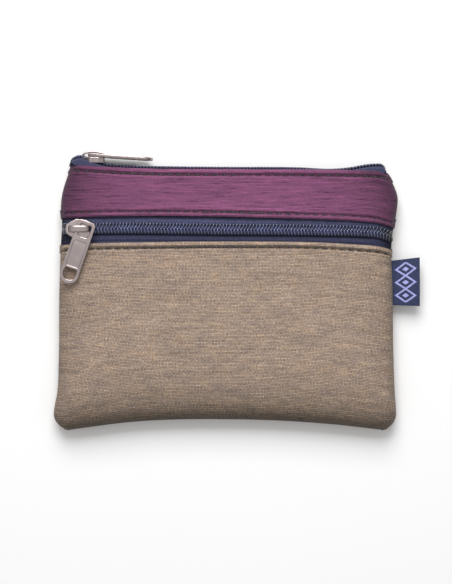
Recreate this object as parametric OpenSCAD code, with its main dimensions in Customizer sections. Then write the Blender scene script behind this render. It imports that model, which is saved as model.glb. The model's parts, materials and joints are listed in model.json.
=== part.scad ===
// Small lined pouch with two coil zips: a flat front pocket under the lower zip and a main
// compartment under the top zip. It lies on its back: X runs across the pouch, Y from the
// bottom seam to the top zip, Z up through its thickness. The origin is the middle of the
// face it rests on.

/* [Pouch] */
// Width across the waist of the pouch, just under the front zip
body_w = 124; // [118:1:132]
// Height of the bottom edge's middle below the origin
bottom_drop = 47.8; // [44:0.2:52]
// How far the bottom corners hang below the middle of the bottom edge
corner_drop = 4.2; // [1:0.2:6]
// Radius of the bottom corners
corner_r = 6; // [4:0.5:9]
// Height of the side and bottom seam above the resting face
seam_z = 4.6; // [4.4:0.1:5]

/* [Cloth] */
// Thickness of the tan and plum outer cloth, folded edges included
front_cloth = 0.8; // [0.6:0.1:0.8]
// Thickness of the back panel's cloth
back_cloth = 0.6; // [0.4:0.1:0.6]
// Thickness of the lining cloth
lining_cloth = 0.4; // [0.3:0.05:0.4]

/* [Zips] */
// Distance of the front zip's middle line from the origin, towards the top
front_zip_y = 23.6; // [20:0.2:25]
// Distance of the top zip's outer face from the origin
top_zip_y = 48.7; // [48:0.1:50]
// Slope of the top zip's line, falling to the right
top_zip_slope = -1.3; // [-1.5:0.1:0]
// Width of the closed chain
chain_w = 4.5; // [4.2:0.1:4.6]
// Distance from one coil loop to the next in a row
coil_pitch = 1.25; // [1.2:0.05:1.4]
// Distance from the chain's middle line to the folded cloth edges beside it
fold_gap = 4.95; // [4.8:0.05:5.4]

/* [Sliders and pulls] */
// Travel of the front slider from closed to open
front_travel = 107; // [60:1:107]
// Travel of the top slider from closed to open
top_travel = 102; // [60:1:102]
// Length of a pull, end to end
pull_l = 25; // [20:0.5:28]
// Width of a pull
pull_w = 7.2; // [6.6:0.1:7.4]
// Angle of the front pull from straight down, towards the closed end
pull_lean = 17.5; // [0:0.5:20]

/* [Label] */
// Height of the side label along the seam
label_h = 18.4; // [10:0.2:20]
// How far the label stands out of the seam
label_out = 11; // [6:0.5:14]

/* [Hidden] */
$fn = 32;

// Seam: half of the gap that the front and back edges leave for the thread and the label
seam_gap = 0.25;

// Levels of the sheets above the seam plane where the pouch is at its full thickness
front_rise = 4.25;
panel_lining_rise = 3.15;
backing_rise = 1.9;
lining_front_rise = 1.35;
// Levels of the two sheets below it
back_rise = seam_z - seam_gap - back_cloth;
lining_back_rise = back_rise - 0.15 - lining_cloth;
// How far each inner sheet's edge stays inside the outer seam, so that they nest
panel_lining_inset = 2.6;
backing_inset = 3.2;
lining_front_inset = 3.8;
lining_back_inset = 2;
// How far the linings stop short of the top folds
lining_top_cut = 1.5;
// The back cloth lifts off the resting face at its top fold, and its lining over the tape
back_lift = 0.45;
back_lift_y = 38;
lining_lift = 1.1;
lining_lift_y = 20;
// Length over which a lifted sheet climbs
lift_run = 5;

// Rounding of the cloth at the bottom seam
bottom_r = 7;
// Distances from the outline at which a sheet's curve is drawn, and where it is flat
flat_from = 14;
ease_steps = [0, 0.3, 0.8, 1.5, 2.5, 4.5, 8, flat_from];
// Columns of a row: [side, distance from the outline, share of the way out]
columns = concat([for (d = ease_steps) [-1, d, 1]], [for (f = [0.6, 0.2]) [-1, flat_from, f]],
    [for (f = [0.2, 0.6]) [1, flat_from, f]], [for (i = [7:-1:0]) [1, ease_steps[i], 1]]);

// Zip sections, measured from the coil's outer face
coil_t = 1.3;
tape_t = 0.5;
tape_top = -coil_t - 0.05;
tape_inner = 1.05;
tape_reach = 10.4;
bent_reach = 11.8;
spine_inner = 1.15;
tooth_tip = 0.3;
tooth_w = 0.5;
cord_y = 1.72;
coil_top_z = seam_z + seam_gap + front_rise - 0.1 - tape_top;
top_mid_z = 4.9;
top_bend = 3.75;
top_fold_back = 3;
zip_end = 60.3;
top_end = 58.5;
// Half length of the front coils, and clearance of a tape's turned-down end over the seam
coil_end = zip_end - 0.6;
tape_foot = 0.4;
// Groove along a row of coil that takes its cord, and the slot above it for the thread
cord_d = 0.5;
cord_bore = 0.6;
cord_z = -0.8;
slot_w = 0.4;
thread_w = 0.28;
thread_t = 0.2;
thread_z = -0.27;
// A coil starts this far inside the slider, and its loops stop this far from its end
coil_start = 0.7;
coil_stop = 1.5;

// Sliders
slider_l = 9.2;
front_slider_x = -55.4;
top_slider_x = -50.4;
// Wings: half widths at the nose, shoulder and tail, and where the shoulder and waist stand
wing_half = 3.6;
lower_half = 3.05;
nose_half = 1.2;
tail_in = 1.2;
waist_in = 0.3;
shoulder_x = -0.9;
waist_x = 2.6;
wing_t = 0.7;
wing_gap = 0.15;
wing_top = wing_gap + wing_t;
// Side flanges of the upper wing, and the lower wing under the tapes
flange_inner = 2.5;
flange_drop = 1.2;
lower_t = 0.8;
lower_top = tape_top - tape_t - 0.15;
lower_nose_x = -4.2;
// Wedge that parts the rows and joins the wings at the nose
wedge_x = -4.1;
wedge_l = 2.2;
wedge_w = 1.5;
// Solids of one piece run this far into each other
bite = 0.1;
// Bridge: a low arch on two round posts
bridge_room = 1.8;
bridge_t = 0.8;
bridge_w = 2.2;
bridge_crown_r = 9;
bridge_under = wing_top + bridge_room;
post_x = 3.6;
post_r = 0.7;

// Pulls, measured from the middle of the end bar of the eye
pull_t = 1.1;
eye_l = 5.2;
eye_w = 4.6;
tip_hole_r = 2.4;
tip_wall = 1.5;
post_to_bar = 1.95;
pull_level = wing_top + 0.3 + pull_t / 2;
pull_dip = 2;
top_bar_x = -0.9;
top_pull_dip = 2.5;

// Stitches
stitch_pitch = 3.5;
stitch_l = 2.9;
stitch_w = 0.45;
stitch_t = 0.25;
stitch_inset = 1.7;
front_face_z = seam_z + seam_gap + front_rise + front_cloth + 0.05;
back_stitch_z = 0.05;
// Lockstitches inside the seam
seam_pitch = 3;
seam_stitch_l = 2.4;
seam_stitch_w = 0.3;
seam_stitch_t = 0.24;
seam_inset = 1;
seam_x_end = 54;
seam_y_end = 42;

// Label: middle of its height, how far it is caught in the seam, and its thickness folded
label_y = 3.9;
label_margin = 4.5;
label_t = 0.4;
label_clear = 2;

tan_cloth = [0.60, 0.47, 0.38];
plum_cloth = [0.44, 0.20, 0.34];
lining_grey = [0.30, 0.32, 0.38];
navy = [0.13, 0.14, 0.20];
navy_gloss = [0.10, 0.11, 0.18];
thread_grey = [0.16, 0.14, 0.16];
nickel = [0.72, 0.70, 0.70];

// ---- Outline -----------------------------------------------------------------------------

// Half width at a height: flared at the bottom corners, waisted at the zip, drawn in at the top
function half_w(y) = body_w / 2 + lookup(y, [[-52, 2.5], [-44, 1.9], [-30, 0.8], [-10, 0.4],
    [20, 0], [34, 1.3], [41, 0], [50, -2.3]]);

// Bottom edge: its middle is drawn up and its corners hang lower
function bottom_y(x) = -bottom_drop - corner_drop * pow(abs(x) / (body_w / 2), 2);

// Top folds run along the top zip, a little behind the coil's face
function top_fold_y(x) = top_zip_y - top_fold_back + x * tan(top_zip_slope);

// How much the rounded corner narrows the outline a distance above the bottom edge
function corner_cut(d) = d >= corner_r ? 0 : corner_r - sqrt(pow(corner_r, 2) - pow(corner_r - d, 2));

// Quarter-round rise of the cloth away from a seam, from 0 on the seam to 1
function rise(t) = t >= 1 ? 1 : t <= 0 ? 0 : sqrt(1 - pow(1 - t, 2));

// Width of the rounded side at a height: soft below, held square by the zips above
function side_r(y) = lookup(y, [[-52, 7], [-4, 6], [10, 1.8], [50, 1.8]]);

// ---- Cloth sheets ------------------------------------------------------------------------

// Where one column of a row stands across the pouch
function column_x(c, half) = c[0] * (c[2] == 1 ? half - c[1] : (half - c[1]) * c[2]);

// A sheet up to the top folds, curved down to the side seams. It starts at the bottom seam and
// is curved down to that too, or at the height low. face is 1 above the seam plane and -1
// below it. h is its full height off the seam plane, less lift above the height lift_from.
module sheet(face, h, thick, inset = 0, top_cut = 0, low = undef, lift = 0, lift_from = 0) {
    to_bottom = is_undef(low);
    rows = to_bottom
        ? concat([for (d = ease_steps) [d, 0]], [for (s = [0.2, 0.4, 0.6, 0.8, 0.92, 1]) [flat_from, s]])
        : [for (s = [0, 0.25, 0.5, 0.75, 1]) [0, s]];
    grid = [for (r = rows) let (
        y_mid = to_bottom ? -bottom_drop - corner_drop + inset + r[0] : low,
        y_at = y_mid + (top_fold_y(0) - top_cut - y_mid) * r[1],
        half = half_w(y_at) - inset - (to_bottom ? corner_cut(r[0]) * (1 - r[1]) : 0))
        [for (c = columns) let (
            x = column_x(c, half),
            y_low = to_bottom ? bottom_y(x) + inset + r[0] : low,
            y = y_low + (top_fold_y(x) - top_cut - y_low) * r[1],
            edge = rise(c[1] / side_r(y)) * (to_bottom && r[1] == 0 ? rise(r[0] / bottom_r) : 1))
            [x, y, seam_gap + h * edge - lift * rise((y - lift_from) / lift_run)]]];
    sheet_solid(grid, thick, face);
}

// Closed solid between a grid of points and the same grid one thickness further out
module sheet_solid(grid, thick, face) {
    nr = len(grid);
    nc = len(grid[0]);
    inner = [for (r = grid) for (p = r) [p[0], p[1], seam_z + face * p[2]]];
    outer = [for (r = grid) for (p = r) [p[0], p[1], seam_z + face * (p[2] + thick)]];
    n = nr * nc;
    quads = [for (r = [0:nr - 2]) for (c = [0:nc - 2])
        [r * nc + c, r * nc + c + 1, (r + 1) * nc + c + 1, (r + 1) * nc + c]];
    rim = concat([for (c = [0:nc - 1]) c], [for (r = [1:nr - 1]) r * nc + nc - 1],
        [for (c = [nc - 2:-1:0]) (nr - 1) * nc + c], [for (r = [nr - 2:-1:1]) r * nc]);
    m = len(rim);
    walls = [for (i = [0:m - 1]) let (a = rim[i], b = rim[(i + 1) % m]) [b, a, a + n, b + n]];
    sides = concat(
        [for (q = quads) for (t = [[q[0], q[1], q[2]], [q[0], q[2], q[3]]]) t],
        [for (q = quads) for (t = [[q[2], q[1], q[0]], [q[3], q[2], q[0]]]) [for (v = t) v + n]],
        [for (w = walls) for (t = [[w[0], w[1], w[2]], [w[0], w[2], w[3]]]) t]);
    polyhedron(points = concat(inner, outer),
        faces = face > 0 ? sides : [for (t = sides) [t[2], t[1], t[0]]], convexity = 6);
}

// Lower front panel: its upper edge is folded under beside the front zip
module front_panel() {
    color(tan_cloth) level_top(front_zip_y - fold_gap)
        sheet(1, front_rise, front_cloth);
}

// Keeps the part of a sheet below a straight line across the pouch
module level_top(y) {
    intersection() {
        children();
        translate([-80, -80, -5]) cube([160, 80 + y, 30]);
    }
}

// Upper front band between the two zips
module front_band() {
    color(plum_cloth) sheet(1, front_rise, front_cloth, low = front_zip_y + fold_gap);
}

// Back panel in one piece; its flat middle is what the pouch rests on
module back_panel() {
    color(tan_cloth) sheet(-1, back_rise, back_cloth, lift = back_lift, lift_from = back_lift_y);
}

// Lining behind the lower front panel, the front wall of the pocket
module front_panel_lining() {
    color(lining_grey) level_top(front_zip_y - fold_gap)
        sheet(1, panel_lining_rise, lining_cloth, panel_lining_inset);
}

// Back wall of the front pocket
module pocket_backing() {
    color(lining_grey) sheet(1, backing_rise, lining_cloth, backing_inset, lining_top_cut);
}

// Front wall of the main compartment
module lining_front() {
    color(lining_grey) sheet(1, lining_front_rise, lining_cloth, lining_front_inset, lining_top_cut);
}

// Back wall of the main compartment, lifted over the top zip's tape at its upper edge
module lining_back() {
    color(lining_grey) sheet(-1, lining_back_rise, lining_cloth, lining_back_inset, lining_top_cut,
        lift = lining_lift, lift_from = lining_lift_y);
}

// ---- Zips --------------------------------------------------------------------------------

// Places a chain drawn flat: x along it, z out of its face, origin on the coil's outer face
module front_zip_frame() {
    translate([0, front_zip_y, coil_top_z]) children();
}

module top_zip_frame() {
    translate([0, top_zip_y, top_mid_z]) rotate([0, 0, top_zip_slope]) rotate([-90, 0, 0])
        children();
}

// One row of coil: a spine sewn to the tape, and loops that reach past the middle line.
// The loops start under the slider, because the rows part in front of it.
module coil_row(half_l, first_x, shift) {
    n = floor((half_l - coil_stop - first_x) / coil_pitch);
    comb = concat([[-half_l, spine_inner], [-half_l, chain_w / 2], [half_l, chain_w / 2],
        [half_l, spine_inner]],
        [for (i = [n - 1:-1:0]) let (x = first_x + shift + i * coil_pitch)
            for (p = [[x + tooth_w / 2, spine_inner], [x + tooth_w / 2, -tooth_tip],
                [x - tooth_w / 2, -tooth_tip], [x - tooth_w / 2, spine_inner]]) p]);
    difference() {
        translate([0, 0, -coil_t]) linear_extrude(coil_t) polygon(comb);
        translate([-half_l - 1, cord_y, cord_z]) rotate([0, 90, 0])
            cylinder(d = cord_bore, h = 2 * half_l + 2);
        translate([-half_l - 1, cord_y - slot_w / 2, cord_z + cord_d]) cube([2 * half_l + 2, slot_w, 1]);
    }
}

// Filler cords that run inside both rows of coil
module coil_cords(half_l) {
    for (side = [-1, 1])
        translate([-half_l, side * cord_y, cord_z]) rotate([0, 90, 0])
            cylinder(d = cord_d, h = 2 * half_l);
}

// Threads that sew both rows of coil down to the tapes
module chain_thread(half_l) {
    for (side = [-1, 1])
        translate([-half_l, side * cord_y - thread_w / 2, thread_z])
            cube([2 * half_l, thread_w, thread_t]);
}

// Flat tape with its ends turned down into the side seams
module flat_tape() {
    translate([-zip_end, tape_inner, tape_top - tape_t])
        cube([2 * zip_end, tape_reach - tape_inner, tape_t]);
    for (x = [-zip_end, zip_end - tape_t])
        translate([x, tape_inner, seam_z + tape_foot - coil_top_z])
            cube([tape_t, tape_reach - tape_inner,
                coil_top_z - seam_z - tape_foot + tape_top - tape_t / 2]);
}

// Tape that is flat beside the coil and folds over to run down inside the panel
module bent_tape() {
    profile = [[tape_inner, tape_top], [top_bend, tape_top], [top_bend, -bent_reach],
        [top_bend - tape_t, -bent_reach], [top_bend - tape_t, tape_top - tape_t],
        [tape_inner, tape_top - tape_t]];
    translate([-top_end, 0, 0]) rotate([90, 0, 90]) linear_extrude(2 * top_end) polygon(profile);
}

module front_tape_upper() {
    color(navy) front_zip_frame() flat_tape();
}

module front_tape_lower() {
    color(navy) front_zip_frame() mirror([0, 1, 0]) flat_tape();
}

module front_coil_upper() {
    color(navy_gloss) front_zip_frame() coil_row(coil_end, front_slider_x + coil_start, 0);
}

module front_coil_lower() {
    color(navy_gloss) front_zip_frame() mirror([0, 1, 0])
        coil_row(coil_end, front_slider_x + coil_start, coil_pitch / 2);
}

module front_coil_cords() {
    color(navy) front_zip_frame() coil_cords(coil_end);
}

module front_chain_thread() {
    color(thread_grey) front_zip_frame() chain_thread(coil_end);
}

module top_tape_front() {
    color(navy) top_zip_frame() mirror([0, 1, 0]) bent_tape();
}

module top_tape_back() {
    color(navy) top_zip_frame() bent_tape();
}

module top_coil_front() {
    color(navy_gloss) top_zip_frame() mirror([0, 1, 0]) coil_row(top_end, top_slider_x + coil_start, 0);
}

module top_coil_back() {
    color(navy_gloss) top_zip_frame()
        coil_row(top_end, top_slider_x + coil_start, coil_pitch / 2);
}

module top_coil_cords() {
    color(navy) top_zip_frame() coil_cords(top_end);
}

module top_chain_thread() {
    color(thread_grey) top_zip_frame() chain_thread(top_end);
}

// ---- Sliders and pulls ---------------------------------------------------------------------

// Plan of a slider's wing: a nose at the closed end and square shoulders
module wing_plan(half) {
    polygon([[-slider_l / 2, nose_half], [shoulder_x, half], [waist_x, half - waist_in],
        [slider_l / 2, half - tail_in], [slider_l / 2, tail_in - half], [waist_x, waist_in - half],
        [shoulder_x, -half], [-slider_l / 2, -nose_half]]);
}

// Slider about its middle: wings above and below the chain, a wedge that joins them in front,
// and a bridge along the top for the pull
module slider() {
    translate([0, 0, wing_gap]) linear_extrude(wing_t) wing_plan(wing_half);
    translate([0, 0, -flange_drop]) linear_extrude(flange_drop + wing_gap + bite) difference() {
        wing_plan(wing_half);
        square([2 * slider_l, 2 * flange_inner], center = true);
    }
    translate([0, 0, lower_top - lower_t]) linear_extrude(lower_t) intersection() {
        wing_plan(lower_half);
        translate([lower_nose_x, -wing_half]) square([slider_l, 2 * wing_half]);
    }
    translate([wedge_x, -wedge_w / 2, lower_top - bite])
        cube([wedge_l, wedge_w, wing_gap + 2 * bite - lower_top]);
    bridge();
}

module bridge() {
    for (x = [-post_x, post_x])
        translate([x, 0, wing_top - bite]) cylinder(r = post_r, h = bridge_room + 3 * bite);
    intersection() {
        translate([-post_x - post_r, -bridge_w / 2, bridge_under])
            cube([2 * (post_x + post_r), bridge_w, bridge_t]);
        translate([0, 0, bridge_under + bridge_t - bridge_crown_r]) rotate([90, 0, 0])
            cylinder(r = bridge_crown_r, h = 2 * bridge_w, center = true, $fn = 96);
    }
}

// Pull about the middle of its eye's end bar, lying along +x
module pull() {
    end = pull_l - pull_t / 2;
    tip_r = pull_w / 2;
    hole_x = end - tip_wall - tip_hole_r;
    translate([0, 0, -pull_t / 2]) linear_extrude(pull_t) difference() {
        union() {
            translate([0, -pull_w / 2]) square([end - tip_r, pull_w]);
            translate([end - tip_r, 0]) circle(r = tip_r, $fn = 64);
        }
        translate([pull_t / 2, -eye_w / 2]) square([eye_l, eye_w]);
        translate([hole_x, 0]) circle(r = tip_hole_r, $fn = 48);
        translate([hole_x - tip_wall, -tip_hole_r]) square([tip_wall, 2 * tip_hole_r]);
    }
    translate([0, -pull_w / 2, 0]) rotate([-90, 0, 0]) cylinder(d = pull_t, h = pull_w, $fn = 24);
}

module front_slider() {
    color(nickel) front_zip_frame() translate([front_slider_x, 0, 0]) slider();
}

// Hooked round the slider's right-hand post and lying across the panel
module front_pull() {
    color(nickel) front_zip_frame() translate([front_slider_x + post_x, 0, pull_level])
        rotate([0, 0, -90 - pull_lean]) rotate([0, pull_dip, 0]) translate([-post_to_bar, 0, 0]) pull();
}

module top_slider() {
    color(nickel) top_zip_frame() translate([top_slider_x, 0, 0]) slider();
}

// Lying along the chain, its end bar under the bridge
module top_pull() {
    color(nickel) top_zip_frame()
        translate([top_slider_x + top_bar_x, 0, wing_top + bridge_room / 2])
        rotate([0, top_pull_dip, 0]) pull();
}

// ---- Stitching and label -------------------------------------------------------------------

// A straight row of stitches along x, each lying flat and centred on the row
module stitch_row(half_l) {
    n = floor(2 * half_l / stitch_pitch);
    for (i = [0:n - 1])
        translate([(i - (n - 1) / 2) * stitch_pitch - stitch_l / 2, -stitch_w / 2, 0])
            cube([stitch_l, stitch_w, stitch_t]);
}

module band_top_stitching() {
    color(thread_grey) translate([0, top_fold_y(0) - stitch_inset, front_face_z])
        rotate([0, 0, top_zip_slope]) stitch_row(top_end - 0.5);
}

module band_bottom_stitching() {
    color(thread_grey) translate([0, front_zip_y + fold_gap + stitch_inset, front_face_z])
        stitch_row(zip_end - 0.3);
}

module panel_stitching() {
    color(thread_grey) translate([0, front_zip_y - fold_gap - stitch_inset, front_face_z])
        stitch_row(zip_end - 0.3);
}

module back_stitching() {
    color(thread_grey) translate([0, top_fold_y(0) - stitch_inset, back_stitch_z])
        rotate([0, 0, top_zip_slope]) stitch_row(top_end - 2.5);
}

// Lockstitches that close the side and bottom seams; they stop beside the label
module seam_thread() {
    color(thread_grey) union() {
        for (y = [-seam_y_end:seam_pitch:seam_y_end]) for (side = [-1, 1])
            if (side < 0 || abs(y - label_y) > label_h / 2 + label_clear)
                translate([side * (half_w(y) - seam_inset), y, seam_z])
                    cube([seam_stitch_w, seam_stitch_l, seam_stitch_t], center = true);
        for (x = [-seam_x_end:seam_pitch:seam_x_end])
            translate([x, bottom_y(x) + seam_inset, seam_z])
                cube([seam_stitch_l, seam_stitch_w, seam_stitch_t], center = true);
    }
}

// Folded woven label caught in the right-hand seam
module side_label() {
    color(navy) translate([half_w(label_y) - label_margin, label_y - label_h / 2, seam_z - label_t / 2])
        cube([label_margin + label_out, label_h, label_t]);
}

front_panel();
front_band();
back_panel();
front_panel_lining();
pocket_backing();
lining_front();
lining_back();
front_tape_upper();
front_tape_lower();
front_coil_upper();
front_coil_lower();
front_coil_cords();
front_chain_thread();
top_tape_front();
top_tape_back();
top_coil_front();
top_coil_back();
top_coil_cords();
top_chain_thread();
band_top_stitching();
band_bottom_stitching();
panel_stitching();
back_stitching();
seam_thread();
side_label();
front_slider();
front_pull();
top_slider();
top_pull();
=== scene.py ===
# %% [markdown]
# # A small zippered pouch, made piece by piece
# The pouch is two cloth panels sewn together round the sides and the bottom, with a plum band
# across the front, two coil zips, linings, rows of topstitching and a folded side label. Each
# cell below makes one of those pieces, in the order a sewer would handle them.

import json
import math
from types import SimpleNamespace

import bmesh
import bpy
import numpy as np
from mathutils import Matrix, Vector


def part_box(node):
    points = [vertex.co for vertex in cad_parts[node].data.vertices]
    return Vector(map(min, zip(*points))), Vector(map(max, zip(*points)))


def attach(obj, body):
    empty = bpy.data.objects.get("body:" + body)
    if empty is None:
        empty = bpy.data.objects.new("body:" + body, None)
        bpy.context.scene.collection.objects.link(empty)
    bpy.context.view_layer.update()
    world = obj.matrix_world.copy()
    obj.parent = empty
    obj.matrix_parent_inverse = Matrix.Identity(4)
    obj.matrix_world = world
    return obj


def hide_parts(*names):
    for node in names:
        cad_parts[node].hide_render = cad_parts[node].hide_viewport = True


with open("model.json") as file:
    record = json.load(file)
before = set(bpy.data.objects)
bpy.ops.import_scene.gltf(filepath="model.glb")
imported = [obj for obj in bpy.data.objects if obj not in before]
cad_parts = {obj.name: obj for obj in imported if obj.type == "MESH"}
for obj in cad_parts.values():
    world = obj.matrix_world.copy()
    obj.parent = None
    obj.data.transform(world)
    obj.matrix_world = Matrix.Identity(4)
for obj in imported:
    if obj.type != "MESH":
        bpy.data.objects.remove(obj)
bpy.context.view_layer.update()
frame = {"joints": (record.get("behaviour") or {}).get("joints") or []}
MM = 0.001

# %% [markdown]
# ## Heights and lines taken from the frame
# The cloth has to meet the sliders and coils where the frame has them, so the levels of the
# seam, the front face and both chains are read from the boxes of the frame's own nodes.

# %% Read the frame
panel_low, panel_high = (np.array(v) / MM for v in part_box("front_panel"))
coil_low, coil_high = (np.array(v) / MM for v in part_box("front_coil_upper"))
lower_high = np.array(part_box("front_coil_lower")[1]) / MM
label_low, label_high = (np.array(v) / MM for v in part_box("side_label"))
joints = {j["name"]: j for j in frame["joints"]}
FACE = panel_high[2]
SEAM = panel_low[2] - 0.25
COIL_TOP = coil_high[2]
ZIP_Y = (coil_low[1] + lower_high[1]) / 2
TOP_MID = joints["top_pull_hinge"]["pos_m"][2] / MM
print("face", round(FACE, 2), "seam", round(SEAM, 2), "coil", round(COIL_TOP, 2), "zip y", round(ZIP_Y, 2))

# %% [markdown]
# ## Small tools
# Sewn goods are full of lines that sag and wander a little. `through` draws a smooth line
# through a few points, so each edge of the pouch can be given its own slight sag.

# %% Lines, meshes and placing
def through(x, points):
    """Smooth curve through a few (x, y) points, level beyond its ends."""
    px, py = np.array(points, float).T
    x = np.asarray(x, float)
    slope = np.gradient(py, px)
    i = np.clip(np.searchsorted(px, x) - 1, 0, len(px) - 2)
    h = px[i + 1] - px[i]
    t = np.clip((x - px[i]) / h, 0, 1)
    start = (1 + 2 * t) * (1 - t) ** 2 * py[i] + t * (1 - t) ** 2 * h * slope[i]
    return start + t * t * (3 - 2 * t) * py[i + 1] + t * t * (t - 1) * h * slope[i + 1]


def smooth(t):
    """0 below 0, 1 above 1, eased between."""
    t = np.clip(t, 0, 1)
    return t * t * (3 - 2 * t)


def waves(x, y, length, seed, count=14):
    """Soft uneven relief from -1 to 1 whose humps are about length wide."""
    r = np.random.default_rng(seed)
    total = np.zeros_like(x)
    for _ in range(count):
        a, k = r.uniform(0, math.tau), math.tau / (length * r.uniform(0.7, 1.8))
        total += np.sin(k * (x * math.cos(a) + y * math.sin(a)) + r.uniform(0, math.tau))
    return total / math.sqrt(count * 1.5)


def show(obj):
    bpy.context.scene.collection.objects.link(obj)
    return obj


def to_object(name, bm, scale=1.0):
    """Object from a bmesh, which is used up."""
    mesh = bpy.data.meshes.new(name)
    bm.to_mesh(mesh)
    bm.free()
    mesh.transform(Matrix.Scale(scale, 4))
    return show(bpy.data.objects.new(name, mesh))


def from_bmesh(name, bm, sharp=40):
    """Object from a bmesh whose numbers are in mm, shaded smooth but for its sharp edges."""
    bmesh.ops.recalc_face_normals(bm, faces=bm.faces)
    for f in bm.faces:
        f.smooth = True
    for e in bm.edges:
        e.smooth = len(e.link_faces) != 2 or e.calc_face_angle(0) < math.radians(sharp)
    return to_object(name, bm, MM)


def join(name, objs):
    """One object from several."""
    bm = bmesh.new()
    for o in objs:
        bm.from_mesh(o.data)
        bpy.data.objects.remove(o)
    return to_object(name, bm)


def finish_mesh(obj):
    """Applies the object's modifiers, so that what is left is plain mesh."""
    made = bpy.data.meshes.new_from_object(obj.evaluated_get(bpy.context.evaluated_depsgraph_get()))
    obj.modifiers.clear()
    obj.data = made
    return obj


def sheet_mesh(name, x, y, z, along, across, thick, face=1, painted_shade_and_scuffs=None):
    """A sheet of cloth on a grid of points in mm: drawn with create_grid, bent into place,
    given its flat size as a UV map in metres and thickened away from its outer face."""
    rows, cols = x.shape
    bm = bmesh.new()
    uv = bm.loops.layers.uv.new("cloth")
    bmesh.ops.create_grid(bm, x_segments=cols - 1, y_segments=rows - 1, size=0.5)
    # Each point stores how much painted shade the cloth's finish darkens it by.
    shade_layer = bm.verts.layers.float.new("painted_shade_and_scuffs")
    bm.verts.ensure_lookup_table()
    flat = np.array([v.co[:2] for v in bm.verts])
    c = np.rint((flat[:, 0] + 0.5) * (cols - 1)).astype(int)
    r = np.rint((flat[:, 1] + 0.5) * (rows - 1)).astype(int)
    spots = np.stack([x, y, z], -1)[r, c]
    cloth = np.stack([across[c], along[r]], -1) * MM
    shade_amounts = np.zeros(len(spots)) if painted_shade_and_scuffs is None else painted_shade_and_scuffs[r, c]
    for v, spot, amount in zip(bm.verts, spots, shade_amounts):
        v.co = spot
        v[shade_layer] = amount
    for f in bm.faces:
        f.smooth = True
        for loop in f.loops:
            loop[uv].uv = cloth[loop.vert.index]
    if face < 0:
        bmesh.ops.reverse_faces(bm, faces=bm.faces)
    obj = to_object(name, bm, MM)
    skin = obj.modifiers.new("thickness", "SOLIDIFY")
    skin.thickness = thick * MM
    skin.offset = -1
    return finish_mesh(obj)


def line_length(points):
    return float(np.linalg.norm(np.diff(points, axis=0), axis=1).sum())


def resample(points, spacing, start=0.0):
    """Points every spacing along a polyline, with the direction there."""
    steps = np.r_[0, np.cumsum(np.linalg.norm(np.diff(points, axis=0), axis=1))]
    at = np.arange(start, steps[-1], spacing)
    spots = np.stack([np.interp(at, steps, points[:, k]) for k in range(3)], -1)
    ahead = np.stack([np.interp(at + 0.05, steps, points[:, k]) for k in range(3)], -1)
    behind = np.stack([np.interp(at - 0.05, steps, points[:, k]) for k in range(3)], -1)
    way = ahead - behind
    return spots, way / np.linalg.norm(way, axis=1)[:, None]


# %% [markdown]
# ## The outline and its sag
# Cut and sewn cloth is never quite straight: the sides are pinched in beside the zips, the
# bottom corners hang lower than the middle, and the zip lines droop at their ends. Each line
# is a few points across (or up) the pouch, in mm, measured at the height of the front face. The
# seam lies lower down, so the outline is a hair larger there: LOW_EDGE.

# %% Outline of the pouch
LEFT = [(-52, -63.9), (-46, -64.6), (-38, -63.3), (-25, -62.7), (0, -62.5), (18, -61.9), (27, -61.5),
        (32, -61.9), (37, -61.4), (42, -60.0), (47.2, -57.9), (49, -56.9)]
RIGHT = [(-52, 63.4), (-46, 63.8), (-38, 63.3), (-25, 62.8), (0, 62.5), (22, 62.4), (30, 63.9), (36, 64.3),
         (41, 62.5), (44.5, 60.4), (46.5, 58.2)]
BOTTOM = [(-60, -51.8), (-36, -48.75), (0, -47.7), (39, -49.5), (60, -51.8)]
BAND_TOP = [(-60, 48), (-57, 47.8), (-36, 46.6), (5, 46.1), (39, 45.9), (50, 45.7), (57.8, 45.3),
            (61, 44.6)]
BAND_BOTTOM = [(-62, 27.6), (-56, 27.9), (-30, 28.5), (0, 28.2), (20, 27.7), (39, 27.1),
               (50, 26.5), (57.8, 25.5), (62, 24.2)]
CHAIN = [(-62, 23.7), (-45, 24), (0, ZIP_Y), (39, 23.2), (50, 22.9), (57.8, 22.2), (61.9, 20.8)]
PANEL_TOP = [(-62, 17.6), (-54, 18.1), (-30, 18.65), (5, 18.95), (39, 18.4), (50, 17.7),
             (57.8, 17), (61.9, 16)]
TOP_CHAIN = [(-59.5, 46.6), (-58.8, 49.2), (-57, 51.2), (-54.5, 51.7), (-50.4, 50.2), (-45, 48.6),
             (-36, 47.9), (-20, 47.5), (0, 47.3), (28, 47.1), (40, 46.6), (47, 47.2), (52, 48.1),
             (56, 48.5), (59.3, 48), (61, 46)]
LOW_EDGE = 1.0075
LEFT, RIGHT = ([(y, x * LOW_EDGE) for y, x in line] for line in (LEFT, RIGHT))
BOTTOM = [(x, y * LOW_EDGE) for x, y in BOTTOM]
CORNER = 6.0
EDGE = 9.0
FOLD = 0.5
TUCK = 1.3
BOTTOM_RADIUS = 6.0
WAIST = 124.0
PANEL_CLOTH, LINING_CLOTH, TAPE_CLOTH, RIBBON = 0.42, 0.3, 0.45, 0.16


def lanes(length, low, high, step, fine):
    """Distances of a sheet's threads from its low edge, finer near both edges."""
    parts = [np.arange(low, EDGE, fine), np.arange(EDGE, length - EDGE, step),
             np.arange(length - EDGE, length - high + fine / 2, fine)]
    return np.concatenate(parts)


def rounded(s, radius):
    """Cloth that runs up from a seam: how far in and how high (0 to 1) it is at arc length s.
    Below 0 it is the allowance, turned in flat along the seam."""
    arc = radius * 1.25
    a = np.clip(s / arc, 0, 1) * math.pi / 2
    inward = radius * (1 - np.cos(a)) + np.clip(s - arc, 0, None)
    return np.where(s < 0, -s, inward), np.sin(a)


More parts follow.
